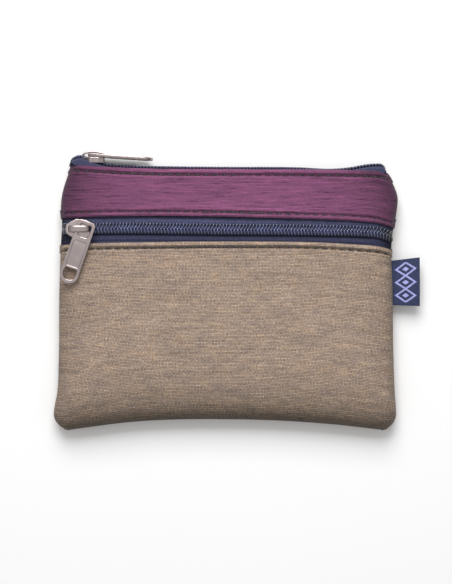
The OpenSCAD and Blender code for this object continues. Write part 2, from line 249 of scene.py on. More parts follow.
def folded(s):
    """Cloth folded back under itself: how far in and how far below the face it is."""
    a = np.clip(-s / FOLD, 0, math.pi)
    inward = np.where(s >= 0, FOLD + s, FOLD - FOLD * np.sin(a) + np.clip(-s - math.pi * FOLD, 0, None))
    return inward, FOLD * (1 - np.cos(a))


def span(low_line, high_line, low_in, high_in, s, length, hold):
    """Position of threads that each edge shapes within hold of itself."""
    share = np.clip((s - hold) / (length - 2 * hold), 0, 1)
    return (low_line + low_in) * (1 - share) + (high_line - high_in) * share


def side_radius(y):
    """The side rolls over softly beside the pocket and is held flatter by the zips."""
    return through(y, [(-50, 4.4), (0, 4.0), (14, 3.0), (24, 2.6), (30, 3.8), (46, 3.4)])


def cut(s):
    """A sheet's edge that just ends."""
    return s, np.zeros_like(s)


def bottom_roll(s):
    """The softer roll of the bottom edge."""
    return rounded(s, BOTTOM_RADIUS)


print("waist", round(float(through(20, RIGHT) - through(20, LEFT)), 1), "mm wide")

# %% [markdown]
# ## How a panel is laid out
# A panel is drawn as its threads lie: across the pouch each thread runs out of the side seam,
# up round the edge and over the face; up the pouch it runs from the bottom seam, or from a
# fold, to the fold beside the next zip. The rolled edges and the turned-in allowance are real
# cloth here, so the two halves meet in a dark crease as sewn halves do.

# %% Lay out a panel
def layout(wide, tall, across, along, low_line, high_line, low_edge, high_edge, inset=0.0, hold=6.5):
    """Places of a panel's threads in mm, how far its sides lift them and how its ends do."""
    sx, sy = np.meshgrid(across, along)
    x = (sx / wide - 0.5) * WAIST
    y = through(x, low_line) + sy
    for _ in range(4):
        radius = side_radius(y)
        left_in, left_up = rounded(sx, radius)
        right_in, right_up = rounded(wide - sx, radius)
        low_in, low_z = low_edge(sy)
        high_in, high_z = high_edge(tall - sy)
        short = np.zeros_like(sy)
        if low_edge is bottom_roll:
            below = np.clip(CORNER - np.abs(low_in), 0, CORNER)
            short = CORNER - np.sqrt(CORNER**2 - below**2)
        left = through(y, LEFT) + short + inset
        right = through(y, RIGHT) - short - inset
        x = span(left, right, left_in, right_in, sx, wide, hold)
        y = span(through(x, low_line) + inset, through(x, high_line), low_in, high_in, sy, tall, hold)
    return SimpleNamespace(x=x, y=y, sx=sx, sy=sy, from_side=np.minimum(sx, wide - sx),
                           side_up=left_up * right_up, low_in=low_in, high_in=high_in, low_z=low_z,
                           high_z=high_z, wide=wide, tall=tall, along=along, across=across)


def laid_sheet(name, g, z, thick, face=1, painted_shade_and_scuffs=None):
    """The sheet of a layout, at heights z."""
    g.z = z
    return sheet_mesh(name, g.x, g.y, z, g.along, g.across, thick, face=face, painted_shade_and_scuffs=painted_shade_and_scuffs)


def stitch_relief(x, inward, inset):
    """Cloth pulled down by a row of stitches near a folded edge, with a full lip beside it."""
    beat = 0.5 + 0.5 * np.cos(math.tau * x / STITCH)
    groove = np.exp(-(((inward - inset) / 0.52) ** 2)) * (0.95 - 0.45 * beat)
    lip = np.exp(-(((inward - inset + 1.05) / 0.55) ** 2)) * (0.14 + 0.16 * beat)
    inner = np.exp(-(((inward - inset - 1.0) / 0.6) ** 2)) * (0.06 + 0.16 * beat)
    return lip + inner - groove


def stitch_groove_shade(x, inward, inset):
    """Painted shade along the pinched line under a row of stitches, deepest where the needle went in."""
    beat = 0.5 + 0.5 * np.cos(math.tau * x / STITCH)
    return np.exp(-(((inward - inset) / 0.5) ** 2)) * (1.0 - 0.6 * beat)


STITCH = 3.5
INSET = {"band top": 2.25, "band bottom": 1.75, "panel": 2.15, "back": 1.9}
LIFT = 0.45

# %% [markdown]
# ## Letting the cloth settle
# The panels hang between their seams with a little spare cloth, so they swell and dip
# unevenly. A coarse sheet, pinned all round and a touch too large, is let go in the cloth
# solver at ten times life size; the swells it finds are then laid into the fine panels.

# %% Settle a slack sheet
def settle(wide, tall, step=3.2, frames=36):
    """Heights in mm of a slack sheet pinned round its edge, as a grid from -1 to 1."""
    cols, rows = int(wide / step), int(tall / step)
    bm = bmesh.new()
    bmesh.ops.create_grid(bm, x_segments=cols, y_segments=rows, size=0.5)
    for v in bm.verts:
        x, y = v.co.x * wide, v.co.y * tall
        v.co = (x / 100, y / 100, 0.004 * math.sin(x * 0.21 + y * 0.13) * math.cos(y * 0.17))
    sheet = to_object("slack_sheet", bm)
    pins = sheet.vertex_groups.new(name="seams")
    edge = [v.index for v in sheet.data.vertices
            if abs(abs(v.co.x) - wide / 200) < 1e-4 or abs(abs(v.co.y) - tall / 200) < 1e-4]
    pins.add(edge, 1.0, "REPLACE")
    cloth = sheet.modifiers.new("cloth", "CLOTH").settings
    values = dict(quality=6, mass=0.3, tension_stiffness=40, compression_stiffness=40,
                  shear_stiffness=10, bending_stiffness=2.0, vertex_group_mass="seams",
                  shrink_min=-0.012, shrink_max=-0.012, use_pressure=True, uniform_pressure_force=0.4)
    for setting, value in values.items():
        setattr(cloth, setting, value)
    scene = bpy.context.scene
    scene.frame_start, scene.frame_end = 1, frames
    for f in range(1, frames + 1):
        scene.frame_set(f)
    made = sheet.evaluated_get(bpy.context.evaluated_depsgraph_get()).to_mesh()
    spots = np.array([v.co[:] for v in made.vertices])
    scene.frame_set(1)
    bpy.data.objects.remove(sheet)
    c = np.rint((spots[:, 0] * 100 / wide + 0.5) * cols).astype(int).clip(0, cols)
    r = np.rint((spots[:, 1] * 100 / tall + 0.5) * rows).astype(int).clip(0, rows)
    heights = np.zeros((rows + 1, cols + 1))
    heights[r, c] = spots[:, 2] * 100
    heights -= heights[1:-1, 1:-1].mean()
    heights[[0, -1], :] = 0
    heights[:, [0, -1]] = 0
    print("settled swells from", round(heights.min(), 2), "to", round(heights.max(), 2), "mm")
    return np.clip(heights / max(np.abs(heights).max(), 1e-6), -1, 1)


def sample(field, u, v):
    """Value of a grid of heights at shares u and v of its width and height."""
    rows, cols = field.shape
    fx = np.clip(u, 0, 1) * (cols - 1)
    fy = np.clip(v, 0, 1) * (rows - 1)
    c, r = fx.astype(int).clip(0, cols - 2), fy.astype(int).clip(0, rows - 2)
    tx, ty = smooth(fx - c), smooth(fy - r)
    top = field[r + 1, c] * (1 - tx) + field[r + 1, c + 1] * tx
    return (field[r, c] * (1 - tx) + field[r, c + 1] * tx) * (1 - ty) + top * ty


panel_swells = settle(122, 66)

# %% [markdown]
# ## Front panel
# Tan melange cloth. Its upper edge is folded under beside the zip and held by one row of
# stitches; its sides and bottom run into the seam.

# %% Front panel
def pucker(along, edge_distance, seed, reach=3.0):
    """Small gathers where a seam takes up cloth."""
    ripple = waves(along, along * 0.3, 5.5, seed)
    return ripple * np.exp(-(((edge_distance - 2.6) / reach) ** 2))


PANEL_WIDE, PANEL_TALL = 131.0, 70.5
TURN_UNDER = 4.3
across = lanes(PANEL_WIDE, -TUCK, -TUCK, 0.6, 0.33)
along = np.unique(np.r_[np.arange(-TUCK, EDGE, 0.4), np.arange(EDGE, PANEL_TALL - 4.5, 0.6),
                        np.arange(PANEL_TALL - 4.5, PANEL_TALL + TURN_UNDER, 0.16)])
g = layout(PANEL_WIDE, PANEL_TALL, across, along, BOTTOM, PANEL_TOP, bottom_roll, folded)
up = g.side_up * g.low_z
raised = LIFT * np.exp(-((g.high_in / 4.0) ** 2))
edge = np.minimum(g.from_side, g.sy)
relief = 0.75 * sample(panel_swells, g.sx / PANEL_WIDE, g.sy / PANEL_TALL)
relief += 0.16 * waves(g.x, g.y, 17, 3) + 0.05 * waves(g.x, g.y, 5, 4)
relief *= smooth((g.high_in - 2) / 10) * smooth(edge / 8)
relief -= 0.9 * (1 - smooth(g.from_side / 14))
relief += 0.16 * pucker(g.y, g.from_side, 21)
relief += 0.20 * pucker(g.x, g.sy, 22)
relief += stitch_relief(g.x, g.high_in, INSET["panel"]) * (g.sy < PANEL_TALL + 0.1)
z = SEAM + (FACE - 0.12 - SEAM - g.high_z + relief + raised) * up
# Painted shade: darker towards the sides, much darker along the bottom where the cloth rolls under, and
# along the stitch groove below the fold.
sides = np.clip(g.from_side, 0, None)
painted_shade_and_scuffs = np.maximum(0.52 * np.exp(-sides / 6.5), np.exp(-((np.clip(g.sy, 0, None) / 12.0) ** 1.3)))
painted_shade_and_scuffs = np.maximum(painted_shade_and_scuffs, stitch_groove_shade(g.x, g.high_in, INSET["panel"]))
front_panel = laid_sheet("front_panel_cloth", g, z, PANEL_CLOTH, painted_shade_and_scuffs=painted_shade_and_scuffs)
panel_grid = g
panel_flat = ((PANEL_WIDE + 2 * TUCK) * MM, (PANEL_TALL + TUCK + TURN_UNDER) * MM)
print("front panel", len(front_panel.data.polygons), "faces, flat", [round(v, 4) for v in panel_flat])

# %% [markdown]
# ## Plum band
# A ribbed cloth between the two zips, folded under and topstitched along both.

# %% Front band
BAND_WIDE, BAND_TALL, BAND_FOLD = 127.0, 18.2, 4.4
across = lanes(BAND_WIDE, -TUCK, -TUCK, 0.6, 0.33)
along = np.arange(-BAND_FOLD, BAND_TALL + BAND_FOLD + 0.05, 0.17)
g = layout(BAND_WIDE, BAND_TALL, across, along, BAND_BOTTOM, BAND_TOP, folded, folded, hold=5.0)
edge = g.from_side
relief = 0.14 * waves(g.x, g.y, 15, 31) + 0.05 * waves(g.x, g.y, 4.5, 32)
relief *= smooth(edge / 8)
relief -= 0.9 * (1 - smooth(edge / 14))
relief += 0.14 * pucker(g.y, edge, 33)
relief += stitch_relief(g.x + 0.9, g.low_in, INSET["band bottom"]) * (g.sy > -0.1)
relief += stitch_relief(g.x, g.high_in, INSET["band top"]) * (g.sy < BAND_TALL + 0.1)
raised = LIFT * np.exp(-((g.low_in / 4.0) ** 2))
z = SEAM + (FACE - 0.05 - SEAM - g.high_z - g.low_z + relief + raised) * g.side_up
# Painted shade: darker towards the band's ends where it rolls into the seam, and along both stitch
# grooves.
painted_shade_and_scuffs = np.exp(-((np.clip(edge, 0, None) / 14.0) ** 1.1))
for inward, side in ((g.low_in, "band bottom"), (g.high_in, "band top")):
    painted_shade_and_scuffs = np.maximum(painted_shade_and_scuffs, 0.8 * stitch_groove_shade(g.x, inward, INSET[side]))
front_band = laid_sheet("front_band_cloth", g, z, PANEL_CLOTH, painted_shade_and_scuffs=painted_shade_and_scuffs)
band_grid = g
band_flat = ((BAND_WIDE + 2 * TUCK) * MM, (BAND_TALL + 2 * BAND_FOLD) * MM)

# %% [markdown]
# ## Back panel
# One piece of the same tan cloth from the bottom seam to the top zip. The pouch lies on it, so
# its middle is flat on the table and only its edges roll up to the seam.

# %% Back panel
BACK_WIDE, BACK_TALL = 131.0, 97.0
across = lanes(BACK_WIDE, -TUCK, -TUCK, 0.8, 0.4)
along = np.unique(np.r_[np.arange(-TUCK, EDGE, 0.45), np.arange(EDGE, BACK_TALL - 4.5, 0.8),
                        np.arange(BACK_TALL - 4.5, BACK_TALL + TURN_UNDER, 0.2)])
g = layout(BACK_WIDE, BACK_TALL, across, along, BOTTOM, BAND_TOP, bottom_roll, folded)
up = g.side_up * g.low_z
edge = np.minimum(g.from_side, g.sy)
relief = 0.22 * (1 + waves(g.x, g.y, 21, 41)) * smooth((g.high_in - 3) / 9)
relief -= stitch_relief(g.x, g.high_in, INSET["back"]) * (g.sy < BACK_TALL + 0.1)
relief += 0.16 * np.abs(pucker(g.y, g.from_side, 42))
lifted = 0.45 * smooth((g.y - 36) / 8)
z = SEAM - (SEAM - 0.02 - lifted - g.high_z - relief) * up
z = np.maximum(z, 0.02)
back_panel = laid_sheet("back_panel_cloth", g, z, PANEL_CLOTH, face=-1)
back_grid = g
back_flat = ((BACK_WIDE + 2 * TUCK) * MM, (BACK_TALL + TUCK + TURN_UNDER) * MM)
print("band", len(front_band.data.polygons), "faces, back", len(back_panel.data.polygons), "faces")

# %% [markdown]
# ## Linings
# Behind the front panel hangs its lining, then the back wall of the pocket; the main
# compartment has a lining on each side. All four run into the same seam as the panels.

# %% Linings
def inner_sheet(name, node, top_line, inset):
    """A lining that lies at its node's own level inside the seam."""
    low, high = (np.array(v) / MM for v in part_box(node))
    front = low[2] > SEAM
    level = high[2] if front else low[2]
    wide, tall = 131.0 - 2 * inset, 70.0 - inset + (0 if top_line is PANEL_TOP else 27.0)
    across = lanes(wide, 0, 0, 1.6, 0.8)
    along = lanes(tall, 0, 0, 1.6, 0.8)
    g = layout(wide, tall, across, along, BOTTOM, top_line, bottom_roll, cut, inset)
    up = g.side_up * g.low_z
    if node == "front_panel_lining":
        level -= 0.8
    base = SEAM + (0.25 if front else -0.25)
    lift = 0 if front else 1.1 * smooth((g.y - 20) / 5)
    z = base + (level - base) * up + lift * up
    obj = laid_sheet(name, g, z, LINING_CLOTH, face=1 if front else -1)
    return obj, (wide * MM, tall * MM)


LINING_TOP = [(x, y - 2.2) for x, y in BAND_TOP]
panel_lining, panel_lining_flat = inner_sheet("panel_lining_cloth", "front_panel_lining", PANEL_TOP, 2.6)
backing, backing_flat = inner_sheet("pocket_backing_cloth", "pocket_backing", LINING_TOP, 3.2)
lining_front, lining_front_flat = inner_sheet("lining_front_cloth", "lining_front", LINING_TOP, 3.8)
lining_back, lining_back_flat = inner_sheet("lining_back_cloth", "lining_back", LINING_TOP, 2.0)

# %% [markdown]
# ## Zip tapes
# Woven tapes carry the coils. Beside the front zip they lie flat under the folded edges; at
# the top they come out flat beside the coil and turn down inside the pouch.

# %% Front tapes
def tape_strip(name, side, face):
    """Half of the front zip's tape, from beside the chain to under the folded cloth."""
    inner = [(x, y + side * 0.3) for x, y in CHAIN]
    outer = [(x, y + side * 10.4) for x, y in CHAIN]
    low, high = (inner, outer) if side > 0 else (outer, inner)
    wide, tall = 127.0, 10.1
    across = lanes(wide, 0, 0, 1.0, 0.5)
    along = np.linspace(0, tall, 20)
    g = layout(wide, tall, across, along, low, high, cut, cut, hold=3.3)
    swell = 0.07 * waves(g.x, g.y * 0.3, 9, 51 + side)
    away = np.abs(g.y - through(g.x, CHAIN))
    z = SEAM + (face - SEAM + swell - 0.9 * smooth((away - 2.2) / 2.6)) * g.side_up
    # Painted shadow: a dark line where the coil shades the lower tape (faint on the upper), a dark line
    # under each folded cloth edge, and darker towards the rolled ends.
    edge = g.from_side
    painted_shade_and_scuffs = np.maximum(np.exp(-(((away - 2.3) / 0.6) ** 2)) * (1.0 if side < 0 else 0.3),
                      np.exp(-((np.clip(edge, 0, None) / 7.0) ** 1.5)))
    painted_shade_and_scuffs = np.maximum(painted_shade_and_scuffs, 0.7 * np.exp(-(((away - 4.7) / 0.5) ** 2)))
    return laid_sheet(name, g, z, TAPE_CLOTH, painted_shade_and_scuffs=painted_shade_and_scuffs), (wide * MM, tall * MM)


COIL_DEPTH = 1.3
TAPE_FACE = COIL_TOP - COIL_DEPTH - 0.05
tape_upper, tape_flat = tape_strip("front_tape_upper_cloth", 1, TAPE_FACE)
tape_lower, _ = tape_strip("front_tape_lower_cloth", -1, TAPE_FACE)

# %% Top tapes
def bent_strip(name, side):
    """Half of the top zip's tape: flat beside the coil, then turned down into the pouch."""
    s = np.linspace(0, 14.0, 48)
    flat_run, radius = 1.9, 0.9
    a = np.clip((s - flat_run) / radius, 0, math.pi / 2)
    out = 1.05 + np.minimum(s, flat_run) + radius * np.sin(a)
    deep = radius * (1 - np.cos(a)) + np.clip(s - flat_run - radius * math.pi / 2, 0, None)
    xs = np.linspace(-59.5, 61, 200)
    x, _ = np.meshgrid(xs, s)
    y = through(x, TOP_CHAIN) - COIL_DEPTH - 0.05 - deep[:, None]
    drawn_in = 4.6 * smooth((through(x, BAND_TOP) + 0.6 - y) / 2.0)
    share = (x - xs[0]) / (xs[-1] - xs[0])
    x = x + drawn_in * (1 - 2 * share)
    z = np.broadcast_to((TOP_MID + side * out)[:, None], x.shape)
    face = 1 if side < 0 else -1
    # Painted shade: the top tape darkened all over where it turns into the pouch, most just beside the
    # coil.
    painted_shade_and_scuffs = np.maximum(0.4, np.exp(-(((s - 0.3) / 0.5) ** 2)))[:, None] * np.ones_like(x)
    flat = ((xs[-1] - xs[0]) * MM, s[-1] * MM)
    return sheet_mesh(name, x, y, z, s, xs, TAPE_CLOTH, face=face, painted_shade_and_scuffs=painted_shade_and_scuffs), flat


top_tape_front, top_tape_flat = bent_strip("top_tape_front_cloth", 1)
top_tape_back, _ = bent_strip("top_tape_back_cloth", -1)

# %% [markdown]
# ## Coil zips
# Each row is one nylon wire wound into a flattened spiral: it crosses from its head in the
# middle of the chain to its outer edge on top, and goes back underneath. The two rows are wound
# in mirror image, half a loop apart, so that their heads hook into each other. Cords run
# inside the spirals, and a thread over every loop sews the row to its tape.

# %% Coils, cords and sewing thread
PITCH = 1.25
front_slider_box = [np.array(v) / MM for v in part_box("front_slider")]
FRONT_SLIDER_X = (front_slider_box[0][0] + front_slider_box[1][0]) / 2


def chain_path(kind):
    """Middle of a chain's outer face in mm, from left to right."""
    if kind == "top":
        x = np.linspace(-59.4, 60.9, 500)
        return np.stack([x, through(x, TOP_CHAIN), np.full_like(x, TOP_MID)], -1)
    s = np.linspace(0.6, 126.4, 420)
    x0 = through(s * 0 + ZIP_Y, LEFT)
    x1 = through(s * 0 + ZIP_Y, RIGHT)
    a_in, a_up = rounded(s, 2.4)
    b_in, b_up = rounded(127.0 - s, 2.4)
    x = (x0 + a_in) * (1 - s / 127) + (x1 - b_in) * s / 127
    return np.stack([x, through(x, CHAIN), SEAM + (COIL_TOP - SEAM) * a_up * b_up], -1)


def chain_frame(path, at, out):
    """Spot, direction, sideways and outward at distances along a chain."""
    steps = np.r_[0, np.cumsum(np.linalg.norm(np.diff(path, axis=0), axis=1))]
    spot = np.stack([np.interp(at, steps, path[:, k]) for k in range(3)], -1)
    way = np.stack([np.interp(at + 0.3, steps, path[:, k]) - np.interp(at - 0.3, steps, path[:, k])
                    for k in range(3)], -1)
    way /= np.linalg.norm(way, axis=1)[:, None]
    normal = np.array(out, float) - way * (way @ np.array(out, float))[:, None]
    normal /= np.linalg.norm(normal, axis=1)[:, None]
    return spot, way, np.cross(normal, way), normal


def tube(name, lines, radius, thick=None, sides=2):
    """Round wire along polylines in mm, made into a mesh."""
    curve = bpy.data.curves.new(name, "CURVE")
    curve.dimensions = "3D"
    curve.bevel_depth = radius * MM
    curve.bevel_resolution = sides
    curve.use_fill_caps = True
    for line in lines:
        spline = curve.splines.new("POLY")
        spline.points.add(len(line) - 1)
        spline.points.foreach_set("co", np.c_[line * MM, np.ones(len(line))].ravel())
        if thick is not None:
            spline.points.foreach_set("radius", thick)
    wire = show(bpy.data.objects.new(name, curve))
    mesh = bpy.data.meshes.new_from_object(wire.evaluated_get(bpy.context.evaluated_depsgraph_get()))
    bpy.data.objects.remove(wire)
    for f in mesh.polygons:
        f.use_smooth = True
    return show(bpy.data.objects.new(name, mesh))


def coil_row(name, path, out, side, shift):
    per_turn = 12
    turns = int((line_length(path) - 1.5) / PITCH)
    k = np.arange(turns * per_turn + 1)
    theta = math.tau * k / per_turn
    at = 0.6 + shift + PITCH * k / per_turn
    spot, way, across, normal = chain_frame(path, at, out)
    wide = 0.97 - 1.02 * np.cos(theta)
    deep = -COIL_DEPTH / 2 + 0.37 * np.sign(np.sin(theta)) * np.abs(np.sin(theta)) ** 0.7
    line = spot + across * (side * wide)[:, None] + normal * deep[:, None]
    return tube(name, [line], 0.28, 1.0 + 0.15 * np.exp(-((wide / 0.5) ** 2)))


def chain_lines(path, out, wide, deep):
    at = np.arange(0.6, line_length(path) - 0.6, 0.6)
    spot, way, across, normal = chain_frame(path, at, out)
    return [spot + across * side * wide + normal * deep for side in (1, -1)]


def bead(length, wide, tall):
    """Bmesh of one stitch: a short fat thread with pulled-in ends, along x."""
    bm = bmesh.new()
    bmesh.ops.create_uvsphere(bm, u_segments=8, v_segments=6, radius=0.5)
    for v in bm.verts:
        pole = abs(v.co.z) * 2
        swell = 1.0 if pole < 0.99 else 0.0
        v.co = (v.co.z * length, v.co.x * wide * swell * 1.1, v.co.y * tall * swell)
    return bm


def strew(name, bm, spots, ways, ups):
    """Copies of a small bmesh at many places, as one mesh."""
    part = bpy.data.meshes.new(name + "_one")
    bm.to_mesh(part)
    bm.free()
    whole = bmesh.new()
    for spot, way, out in zip(spots, ways, ups):
        x = Vector(way).normalized()
        z = Vector(out)
        z = (z - x * z.dot(x)).normalized()
        turn = Matrix((x, z.cross(x), z)).transposed().to_4x4()
        turn.translation = Vector(spot)
        start = len(whole.verts)
        whole.from_mesh(part)
        whole.verts.ensure_lookup_table()
        bmesh.ops.transform(whole, matrix=turn, verts=whole.verts[start:])
    bpy.data.meshes.remove(part)
    return from_bmesh(name, whole)


chains = {}
for kind, out in (("front", (0, 0, 1)), ("top", (0, 1, 0))):
    path = chain_path(kind)
    for side, shift, row in ((1, 0.0, "upper" if kind == "front" else "back"),
                             (-1, PITCH / 2, "lower" if kind == "front" else "front")):
        chains[kind, row] = coil_row(f"{kind}_coil_{row}_wire", path, out, side, shift)
    chains[kind, "cords"] = tube(f"{kind}_cords", chain_lines(path, out, 1.35, -0.65), 0.22)
    at = np.arange(0.9, line_length(path) - 0.9, PITCH)
    spot, way, sideways, normal = chain_frame(path, at, out)
    both = [spot + sideways * side * 1.66 - normal * 0.24 for side in (1, -1)]
    chains[kind, "thread"] = strew(f"{kind}_sewing_thread", bead(1.3, 0.26, 0.2), np.concatenate(both),
                                   np.concatenate([way, way]), np.concatenate([normal, normal]))
print("coil loops:", len(chains["front", "upper"].data.polygons), "faces a row")

# %% [markdown]
# ## Topstitching
# Each row follows its panel's own folded edge, one thread bead for every stitch, pulled down
# into the cloth at both ends.

# %% Stitches
def stitch_row(name, grid, inward, from_high, face=1, shift=0.0):
    """Beads along the thread of a panel that lies inward from its folded edge."""
    column = grid.x.shape[1] // 2
    measure = (grid.high_in if from_high else grid.low_in)[:, column]
    reach = grid.sy[:, column]
    turned_in = reach > grid.tall if from_high else (reach < 0) | (reach > BAND_TALL)
    row = int(np.argmin(np.abs(measure - inward) + 100 * turned_in))
    line = np.stack([grid.x[row], grid.y[row], grid.z[row] + face * 0.10], -1)
    inside = (grid.sx[row] > 1.2) & (grid.sx[row] < grid.wide - 1.2)
    spots, ways = resample(line[inside], STITCH, 0.9 + shift)
    ups = np.tile([0.0, 0.0, float(face)], (len(spots), 1))
    return strew(name, bead(3.25, 0.7, 0.5), spots, ways, ups)


band_top_thread = stitch_row("band_top_stitches", band_grid, INSET["band top"], True)
band_bottom_thread = stitch_row("band_bottom_stitches", band_grid, INSET["band bottom"], False, shift=0.6)
panel_thread = stitch_row("panel_stitches", panel_grid, INSET["panel"], True, shift=1.1)
back_thread = stitch_row("back_stitches", back_grid, INSET["back"], True, face=-1)


def seam_stitches(name, grids, inset):
    """Lockstitches inside the seam, a little in from the outline, up both sides and the bottom."""
    spots, ways = [], []
    for grid, with_bottom in grids:
        left = int(np.argmin(np.abs(grid.across)))
        right = int(np.argmin(np.abs(grid.across - grid.wide)))
        rows = np.flatnonzero((grid.sy[:, 0] > 3) & (grid.high_in[:, 0] > 1))
        lines = [np.stack([grid.x[rows, c] + k * inset, grid.y[rows, c]], -1)
                 for c, k in ((left, 1), (right, -1))]
        if with_bottom:
            row = int(np.argmin(np.abs(grid.along)))
            lines.append(np.stack([grid.x[row], grid.y[row] + inset], -1)[8:-8])
        for line in lines:
            keep = (line[:, 0] < 50) | (np.abs(line[:, 1] - label_low[1] - LABEL_H / 2) > LABEL_H / 2 + 1)
            for part in np.split(line, np.flatnonzero(np.diff(keep.astype(int))) + 1):
                if len(part) > 3 and (part[1, 0] < 50 or keep[np.argmin(np.abs(line - part[1]).sum(1))]):
                    spot, way = resample(np.c_[part, np.full(len(part), SEAM)], 3.0, 1.0)
                    spots.append(spot)
                    ways.append(way)
    ups = np.tile([0.0, 0.0, 1.0], (sum(map(len, spots)), 1))
    return strew(name, bead(2.5, 0.34, 0.3), np.concatenate(spots), np.concatenate(ways), ups)


LABEL_H = label_high[1] - label_low[1]
seam_thread = seam_stitches("seam_stitches", [(panel_grid, True), (band_grid, False)], 1.0)
print("stitches in the panel row:", len(panel_thread.data.polygons) // 48)

# %% [markdown]
# ## Side label
# A strip of damask ribbon folded in half, its ends caught in the side seam and its fold
# standing out at the right. It stands a little rolled, as a stiff woven label does.

# %% Label
label_out = label_high[0] - label_low[0]
s = np.r_[np.linspace(0, label_out - 0.4, 60), label_out - 0.4 + np.linspace(0.05, 1.2, 12),
          label_out + 0.85 + np.linspace(0.3, label_out - 0.6, 60)]
turn = np.clip((s - (label_out - 0.4)) / 0.38, 0, math.pi)
back_run = np.clip(s - (label_out - 0.4) - 0.38 * math.pi, 0, None)
lx = label_low[0] + np.minimum(s, label_out - 0.4) + 0.38 * np.sin(turn) - back_run
lz = 0.38 * np.cos(turn)
tall = np.linspace(0, LABEL_H, 56)
X, T = np.meshgrid(lx, tall)
reach = np.clip((X - label_low[0] - 4.5) / (label_out - 4.5), 0, 1)
Y = label_low[1] + T + (1 - reach) * (0.4 - 1.7 * T / LABEL_H)
Z = SEAM + lz[None, :] * (0.25 + 0.75 * smooth(reach * 4))
Z = Z + 0.6 * smooth(reach) * np.sin(T / LABEL_H * 2.6 + 0.4)
label = sheet_mesh("side_label_ribbon", X, Y, Z, tall, s, RIBBON)
label_flat = (float(s[-1]) * MM, LABEL_H * MM)

# %% [markdown]
# ## Sliders and pulls
# Cast zinc, plated. A slider is an upper and a lower wing joined by a wedge at the nose, with
# flanges that fold over the tapes and a bridge for the pull. The pull is one casting: an eye,
# a sunk middle between raised rims, and a hole near its rounded tip.

# %% Metal parts
def rounded_outline(points, radius, steps=7):
    """Closed outline with its corners rounded."""
    out = []
    n = len(points)
    for i in range(n):
        before, here, after = (np.array(points[j % n], float) for j in (i - 1, i, i + 1))
        a, b = before - here, after - here
        la, lb = np.linalg.norm(a), np.linalg.norm(b)
        a, b = a / la, b / lb
        r = radius[i] if hasattr(radius, "__len__") else radius
        reach = min(r / math.tan(math.acos(np.clip(a @ b, -1, 1)) / 2), la * 0.49, lb * 0.49)
        for t in np.linspace(0, 1, steps):
            out.append(here + a * reach * (1 - t) ** 2 + b * reach * t**2)
    return out


def plate(name, loops, low, high, bevel=0.12):
    """Flat metal between two levels with rounded edges. The first loop is its outline and the
    rest are holes."""
    curve = bpy.data.curves.new(name, "CURVE")
    curve.dimensions = "2D"
    curve.fill_mode = "BOTH"
    curve.extrude = ((high - low) / 2 - bevel) * MM
    curve.bevel_depth = bevel * MM
    curve.bevel_resolution = 3
    curve.offset = -bevel * MM
    for loop in loops:
        spline = curve.splines.new("POLY")
        spline.points.add(len(loop) - 1)
        for point, (x, y) in zip(spline.points, loop):
            point.co = (x * MM, y * MM, 0, 1)
        spline.use_cyclic_u = True
    obj = show(bpy.data.objects.new(name, curve))
    mesh = bpy.data.meshes.new_from_object(obj.evaluated_get(bpy.context.evaluated_depsgraph_get()))
    bpy.data.objects.remove(obj)
    mesh.transform(Matrix.Translation((0, 0, (low + high) / 2 * MM)))
    bm = bmesh.new()
    bm.from_mesh(mesh)
    bpy.data.meshes.remove(mesh)
    bmesh.ops.remove_doubles(bm, verts=bm.verts, dist=1e-6)
    bmesh.ops.transform(bm, matrix=Matrix.Scale(1 / MM, 4), verts=bm.verts)
    return from_bmesh(name, bm, sharp=35)


def strap(name, outline, width, thick):
    """A bent strap in the x-z plane with rounded edges, its outer face along the outline."""
    knots = np.linspace(0, 1, len(outline))
    lines = [list(zip(knots, values)) for values in zip(*outline)]
    bm = bmesh.new()
    bmesh.ops.create_uvsphere(bm, u_segments=24, v_segments=46, radius=1.0)
    for v in bm.verts:
        t = math.acos(max(-1.0, min(1.0, v.co.z))) / math.pi
        full = math.hypot(v.co.x, v.co.y) > 1e-4
        c, s = math.cos(math.atan2(v.co.y, v.co.x)), math.sin(math.atan2(v.co.y, v.co.x))
        side = full * math.copysign(abs(c) ** 0.6, c) * width(t) / 2
        deep = full * math.copysign(abs(s) ** 0.7, s) * thick / 2 - thick / 2
        here, ahead, behind = (Vector([float(through(k, line)) for line in lines])
                               for k in (t, min(t + 0.01, 1), max(t - 0.01, 0)))
        way = (ahead - behind).normalized()
        v.co = (here.x - way.y * deep, side, here.y + way.x * deep)
    return from_bmesh(name, bm, sharp=60)


